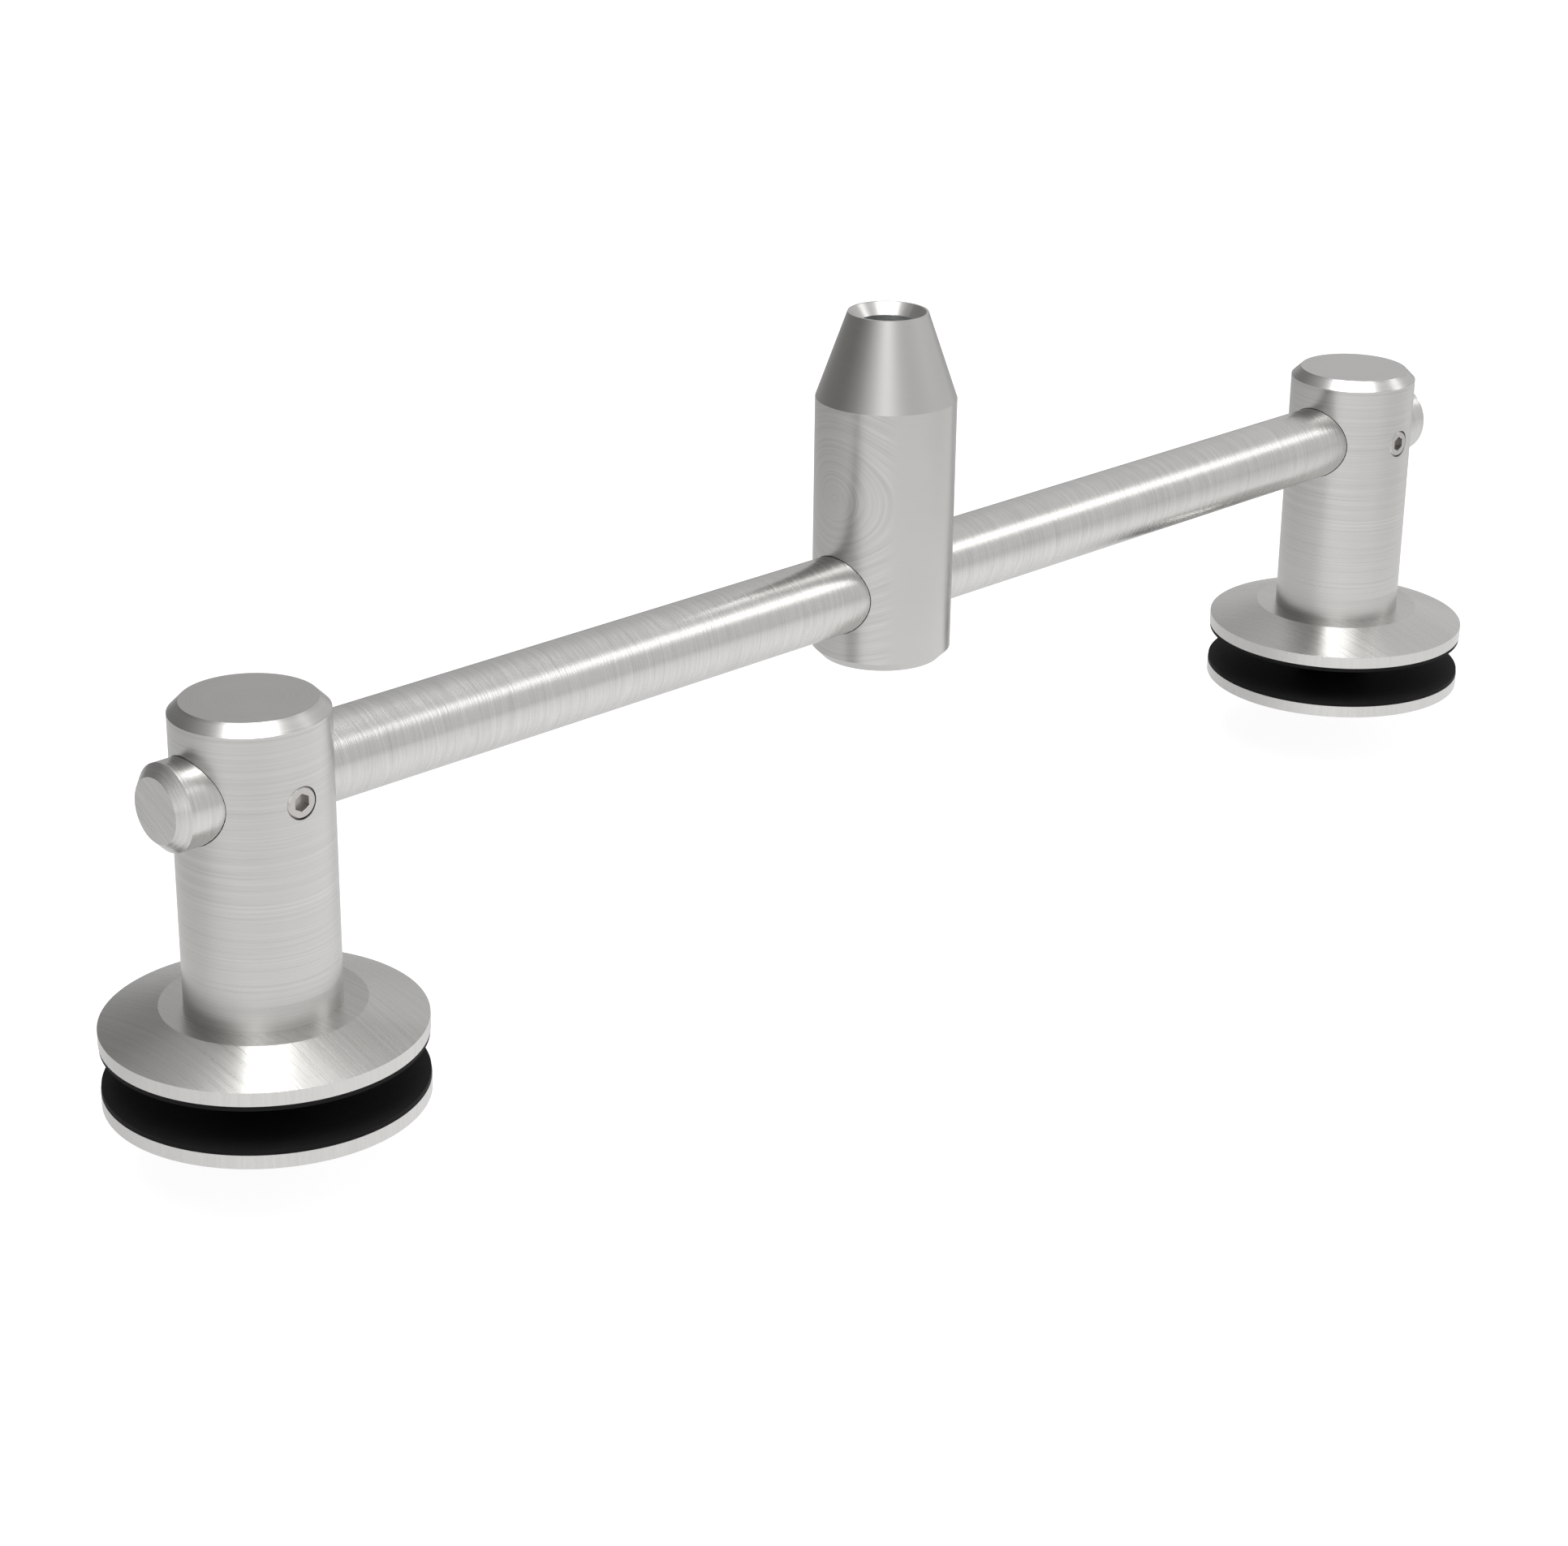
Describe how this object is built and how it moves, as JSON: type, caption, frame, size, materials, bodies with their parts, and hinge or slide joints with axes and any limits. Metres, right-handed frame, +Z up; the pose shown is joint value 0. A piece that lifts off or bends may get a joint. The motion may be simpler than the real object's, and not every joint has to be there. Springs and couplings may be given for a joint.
{
  "type": "glass canopy bracket",
  "caption": "Stainless steel bracket: a round crossbar with a gasketed glass clamp near each end and a swivelling central post with a threaded hole for a tie rod.",
  "frame": {"origin": "bottom centre: on the underside of the lower discs, midway between the clamps, under the post", "axes": "+X along the crossbar, +Z up along the post, towards the tie rod; the clamps' grub screws face -Y"},
  "size_m": [0.3294, 0.0518, 0.1055],
  "materials": {
    "brushed_steel": "satin, fine turned grain",
    "screw_steel": "smooth",
    "black_rubber": "matte",
    "black_plastic": "matte"
  },
  "bodies": {
    "crossbar": {"crossbar": "brushed_steel"},
    "post": {"tie_rod_post": "brushed_steel"},
    "post_grub": {"post_grub_screw": "screw_steel"},
    "left_clamp": {"left_stem": "brushed_steel", "left_upper_disc": "brushed_steel", "left_upper_gasket": "black_rubber"},
    "left_jaw": {"left_lower_disc": "brushed_steel", "left_lower_gasket": "black_rubber", "left_glass_sleeve": "black_plastic"},
    "left_screw": {"left_clamp_screw": "screw_steel"},
    "left_grub": {"left_grub_screw": "screw_steel"},
    "right_clamp": {"right_stem": "brushed_steel", "right_upper_disc": "brushed_steel", "right_upper_gasket": "black_rubber"},
    "right_jaw": {"right_lower_disc": "brushed_steel", "right_lower_gasket": "black_rubber", "right_glass_sleeve": "black_plastic"},
    "right_screw": {"right_clamp_screw": "screw_steel"},
    "right_grub": {"right_grub_screw": "screw_steel"}
  },
  "joints": [
    {"name": "post_swivel", "type": "hinge", "parent": "crossbar", "child": "post", "pos_m": [0, 0, 0.0562], "axis": [1, 0, 0], "range_deg": [-90, 90]},
    {"name": "post_grub_turn", "type": "hinge", "parent": "post", "child": "post_grub", "pos_m": [0, 0, 0.0432], "axis": [0, 0, -1], "range_deg": [0, 720]},
    {"name": "left_clamp_slide", "type": "slide", "parent": "crossbar", "child": "left_clamp", "axis": [1, 0, 0], "range_m": [-0.005, 0.11]},
    {"name": "left_grub_turn", "type": "hinge", "parent": "left_clamp", "child": "left_grub", "pos_m": [-0.13875, -0.0096, 0.0562], "axis": [0, -1, 0], "range_deg": [0, 720]},
    {"name": "left_jaw_open", "type": "slide", "parent": "left_clamp", "child": "left_jaw", "axis": [0, 0, -1], "range_m": [0, 0.01]},
    {"name": "left_screw_turn", "type": "hinge", "parent": "left_jaw", "child": "left_screw", "pos_m": [-0.13875, 0, 0.02], "axis": [0, 0, -1], "range_deg": [0, 2880.1]},
    {"name": "right_clamp_slide", "type": "slide", "parent": "crossbar", "child": "right_clamp", "axis": [-1, 0, 0], "range_m": [-0.005, 0.11]},
    {"name": "right_grub_turn", "type": "hinge", "parent": "right_clamp", "child": "right_grub", "pos_m": [0.13875, -0.0096, 0.0562], "axis": [0, -1, 0], "range_deg": [0, 720]},
    {"name": "right_jaw_open", "type": "slide", "parent": "right_clamp", "child": "right_jaw", "axis": [0, 0, -1], "range_m": [0, 0.01]},
    {"name": "right_screw_turn", "type": "hinge", "parent": "right_jaw", "child": "right_screw", "pos_m": [0.13875, 0, 0.02], "axis": [0, 0, -1], "range_deg": [0, 2880.1]}
  ],
  "couplings": [
    {"joint": "left_screw_turn", "follows": "left_jaw_open", "rad_per_m": 5026.5},
    {"joint": "right_screw_turn", "follows": "right_jaw_open", "rad_per_m": 5026.5}
  ]
}
